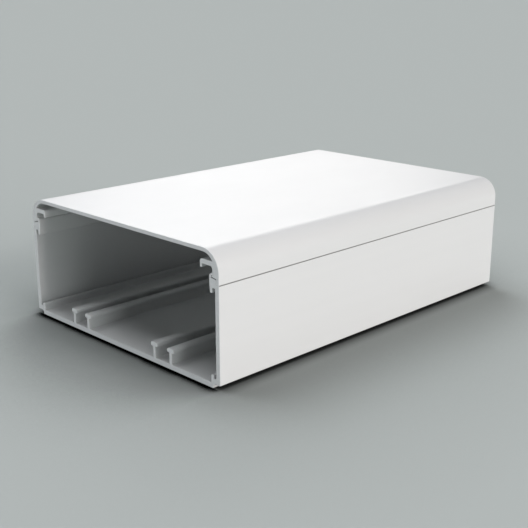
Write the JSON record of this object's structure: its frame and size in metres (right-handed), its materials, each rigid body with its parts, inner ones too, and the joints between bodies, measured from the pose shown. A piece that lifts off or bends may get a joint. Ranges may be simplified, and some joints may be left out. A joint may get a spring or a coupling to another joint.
{
  "type": "cord cover raceway",
  "caption": "Short length of two-piece cable raceway: a rectangular base channel with T rails on its floor and a clip-on cover with rounded edges.",
  "frame": {"origin": "middle of the base's flat back face, at half the length", "axes": "+Y along the run, +Z from the mounting surface to the cover's face, +X across the width"},
  "size_m": [0.14, 0.205, 0.061],
  "materials": {
    "base_plastic": "satin",
    "cover_plastic": "satin"
  },
  "bodies": {
    "root": {"base_channel": "base_plastic", "snap_cover": "cover_plastic"}
  },
  "joints": []
}
